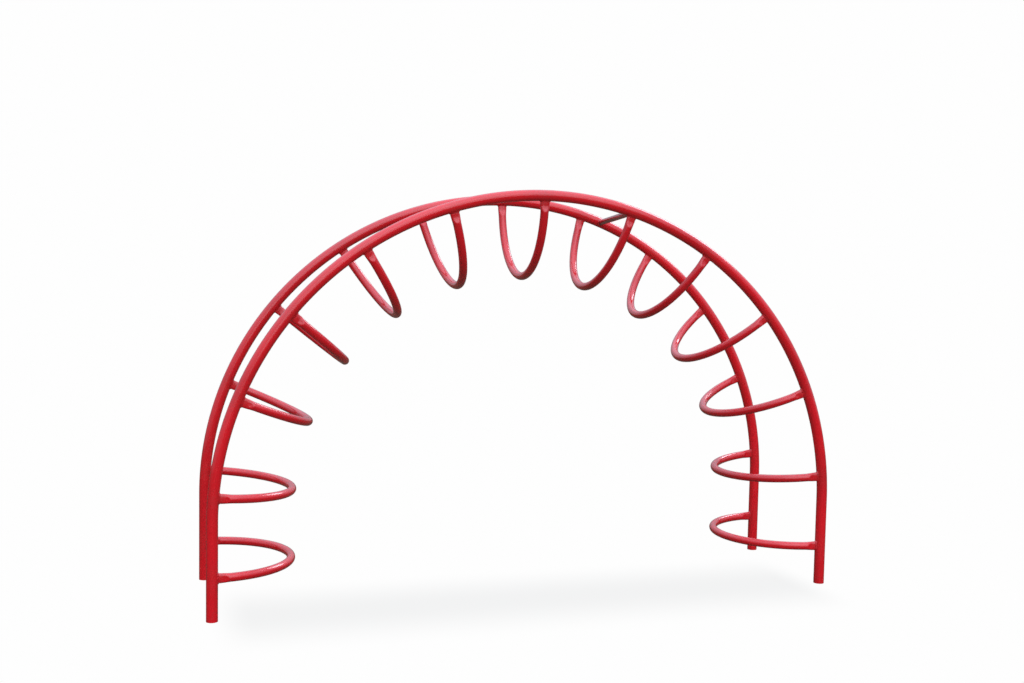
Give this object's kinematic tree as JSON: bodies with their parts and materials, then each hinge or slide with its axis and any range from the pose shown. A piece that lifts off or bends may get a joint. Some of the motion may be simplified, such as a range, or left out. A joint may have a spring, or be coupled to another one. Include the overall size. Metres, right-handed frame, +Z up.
{
  "type": "loop arch climber",
  "caption": "Arched playground climber of two bent steel tubes with hanging U-shaped rung loops and one spreader bar, welded and painted red.",
  "frame": {"origin": "on the ground, midway between the four feet", "axes": "+X along the span of the arch, +Y across the two rails from front to rear, +Z up"},
  "size_m": [2.6146, 0.6644, 1.6574],
  "materials": {
    "rail_paint": "gloss red powder coat on bent steel tube",
    "loop_paint": "gloss red powder coat on bent steel tube with pinched ends",
    "bar_paint": "gloss dark red powder coat",
    "weld_paint": "gloss red powder coat over rippled weld beads"
  },
  "bodies": {
    "root": {"front_rail": "rail_paint", "rear_rail": "rail_paint", "rung_loop_01": "loop_paint", "rung_loop_02": "loop_paint", "rung_loop_03": "loop_paint", "rung_loop_04": "loop_paint", "rung_loop_05": "loop_paint", "rung_loop_06": "loop_paint", "rung_loop_07": "loop_paint", "rung_loop_08": "loop_paint", "rung_loop_09": "loop_paint", "rung_loop_10": "loop_paint", "rung_loop_11": "loop_paint", "rung_loop_12": "loop_paint", "rung_loop_13": "loop_paint", "spreader_bar": "bar_paint", "weld_loop_01_front": "weld_paint", "weld_loop_01_rear": "weld_paint", "weld_loop_02_front": "weld_paint", "weld_loop_02_rear": "weld_paint", "weld_loop_03_front": "weld_paint", "weld_loop_03_rear": "weld_paint", "weld_loop_04_front": "weld_paint", "weld_loop_04_rear": "weld_paint", "weld_loop_05_front": "weld_paint", "weld_loop_05_rear": "weld_paint", "weld_loop_06_front": "weld_paint", "weld_loop_06_rear": "weld_paint", "weld_loop_07_front": "weld_paint", "weld_loop_07_rear": "weld_paint", "weld_loop_08_front": "weld_paint", "weld_loop_08_rear": "weld_paint", "weld_loop_09_front": "weld_paint", "weld_loop_09_rear": "weld_paint", "weld_loop_10_front": "weld_paint", "weld_loop_10_rear": "weld_paint", "weld_loop_11_front": "weld_paint", "weld_loop_11_rear": "weld_paint", "weld_loop_12_front": "weld_paint", "weld_loop_12_rear": "weld_paint", "weld_loop_13_front": "weld_paint", "weld_loop_13_rear": "weld_paint", "weld_spreader_front": "weld_paint", "weld_spreader_rear": "weld_paint"}
  },
  "joints": []
}
